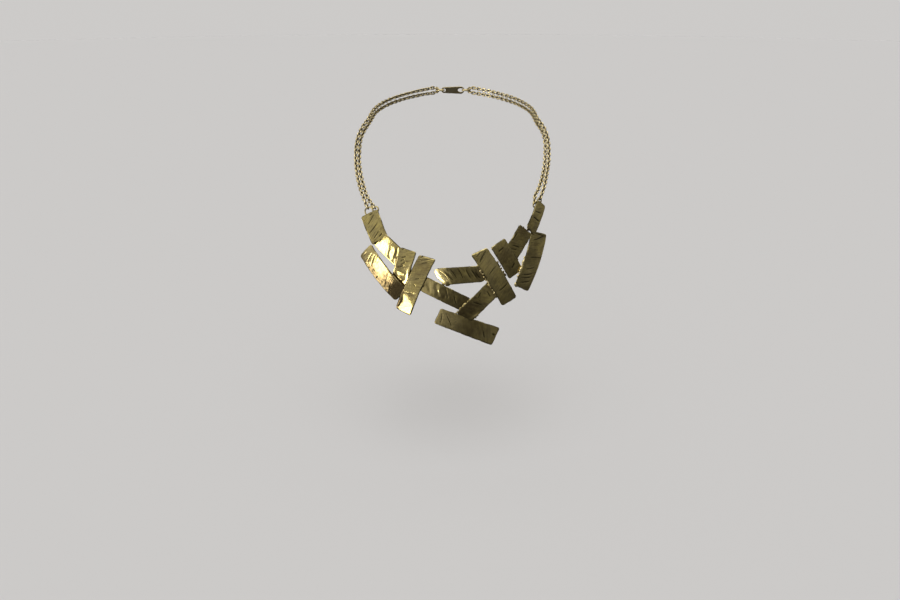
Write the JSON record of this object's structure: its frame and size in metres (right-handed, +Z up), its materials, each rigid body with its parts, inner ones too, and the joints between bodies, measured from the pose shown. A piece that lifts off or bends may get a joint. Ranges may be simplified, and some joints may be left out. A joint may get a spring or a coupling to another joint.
{
  "type": "bib necklace",
  "caption": "Bib necklace of bent antique-brass strips soldered across each other, on doubled fine brass chains with rings and a clasp behind the neck",
  "frame": {"origin": "the point at the nape of the neck that the necklace hangs on, between the two end rings, on the neck's side of the clasp", "axes": "+Z up along the neck, -Y towards the front of the wearer, where the bib is, +X to the right of somebody looking at the bib"},
  "size_m": [0.1293, 0.1506, 0.1367],
  "materials": {
    "antique_brass": "hammered and engraved sheet brass, bright on the high places, dark patina in the marks",
    "chain_brass": "pale gold-coloured drawn wire, bright, slightly tarnished"
  },
  "bodies": {
    "root": {"bib": "antique_brass", "left_outer_chain": "chain_brass", "left_inner_chain": "chain_brass", "right_inner_chain": "chain_brass", "right_outer_chain": "chain_brass", "left_end_ring": "chain_brass", "right_end_ring": "chain_brass", "clasp": "chain_brass"}
  },
  "joints": []
}
